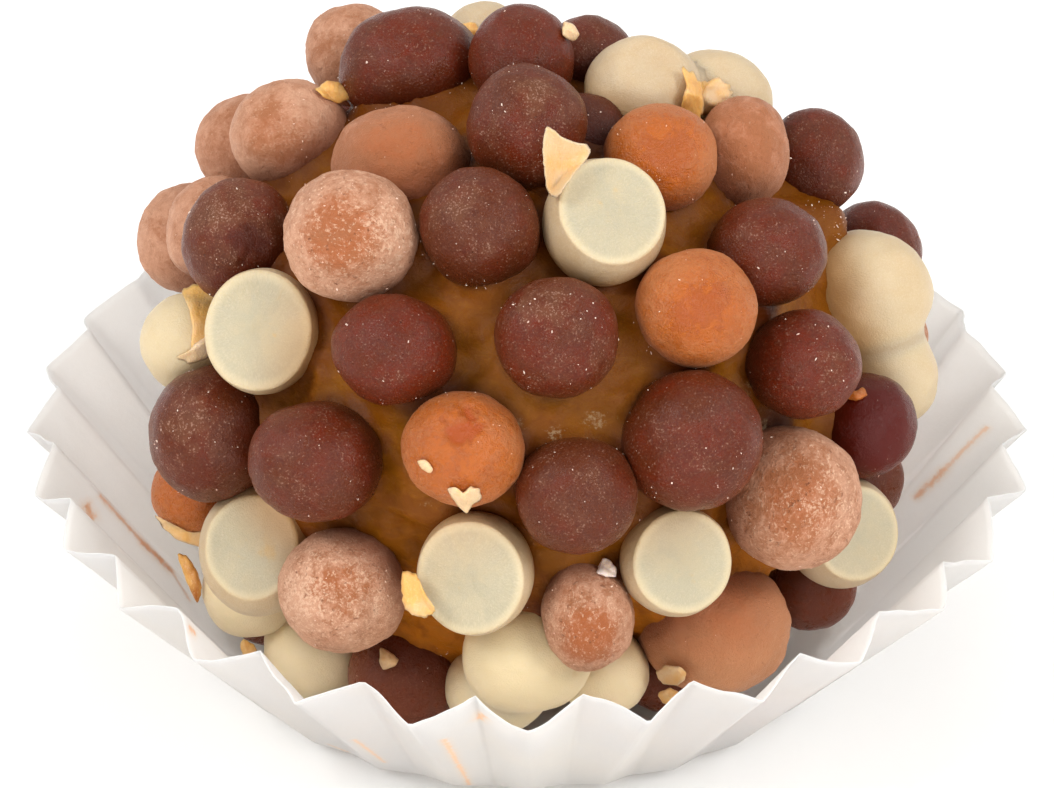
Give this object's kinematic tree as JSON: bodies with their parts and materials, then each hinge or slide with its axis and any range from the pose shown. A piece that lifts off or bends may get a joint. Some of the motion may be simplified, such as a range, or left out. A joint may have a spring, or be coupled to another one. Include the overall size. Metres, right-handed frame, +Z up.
{
  "type": "brigadeiro",
  "caption": "Soft chocolate fudge ball rolled in crisp dark, milk, caramel and white chocolate pearls, sitting in a pleated white paper case.",
  "frame": {"origin": "centre of the underside of the paper case, on the surface it stands on", "axes": "+Z up through the ball, -Y towards the front, +X to the right"},
  "size_m": [0.0446, 0.0446, 0.0293],
  "materials": {
    "fudge": "moist, slightly glossy caramel-brown chocolate fudge",
    "dark_chocolate": "satin dark chocolate with pale bloom and sugar specks",
    "milk_chocolate": "satin milk chocolate with frosty bloom and worn orange patches",
    "caramel": "glossier orange-brown caramel chocolate",
    "white_chocolate": "satin ivory white chocolate",
    "paper": "thin white greaseproof paper, pleated"
  },
  "bodies": {
    "root": {"fudge_core": "fudge", "paper_case": "paper", "pearl_caramel_01": "caramel", "pearl_caramel_02": "caramel", "pearl_caramel_03": "caramel", "pearl_caramel_04": "caramel", "pearl_dark_01": "dark_chocolate", "pearl_dark_02": "dark_chocolate", "pearl_dark_03": "dark_chocolate", "pearl_dark_04": "dark_chocolate", "pearl_dark_05": "dark_chocolate", "pearl_dark_06": "dark_chocolate", "pearl_dark_07": "dark_chocolate", "pearl_dark_08": "dark_chocolate", "pearl_dark_09": "dark_chocolate", "pearl_dark_10": "dark_chocolate", "pearl_dark_11": "dark_chocolate", "pearl_dark_12": "dark_chocolate", "pearl_dark_13": "dark_chocolate", "pearl_dark_14": "dark_chocolate", "pearl_dark_15": "dark_chocolate", "pearl_dark_16": "dark_chocolate", "pearl_dark_17": "dark_chocolate", "pearl_dark_18": "dark_chocolate", "pearl_dark_19": "dark_chocolate", "pearl_dark_20": "dark_chocolate", "pearl_dark_21": "dark_chocolate", "pearl_dark_22": "dark_chocolate", "pearl_dark_23": "dark_chocolate", "pearl_milk_01": "milk_chocolate", "pearl_milk_02": "milk_chocolate", "pearl_milk_03": "milk_chocolate", "pearl_milk_04": "milk_chocolate", "pearl_milk_05": "milk_chocolate", "pearl_milk_06": "milk_chocolate", "pearl_milk_07": "milk_chocolate", "pearl_milk_08": "milk_chocolate", "pearl_milk_09": "milk_chocolate", "pearl_milk_10": "milk_chocolate", "pearl_milk_11": "milk_chocolate", "pearl_milk_12": "milk_chocolate", "pearl_milk_13": "milk_chocolate", "pearl_white_01": "white_chocolate", "pearl_white_02": "white_chocolate", "pearl_white_03": "white_chocolate", "pearl_white_04": "white_chocolate", "pearl_white_05": "white_chocolate", "pearl_white_06": "white_chocolate", "pearl_white_07": "white_chocolate", "pearl_white_08": "white_chocolate", "pearl_white_09": "white_chocolate", "pearl_white_10": "white_chocolate", "pearl_white_11": "white_chocolate", "pearl_white_12": "white_chocolate", "pearl_white_13": "white_chocolate", "pearl_white_14": "white_chocolate", "pearl_white_15": "white_chocolate", "pearl_white_16": "white_chocolate", "pearl_white_17": "white_chocolate"}
  },
  "joints": []
}
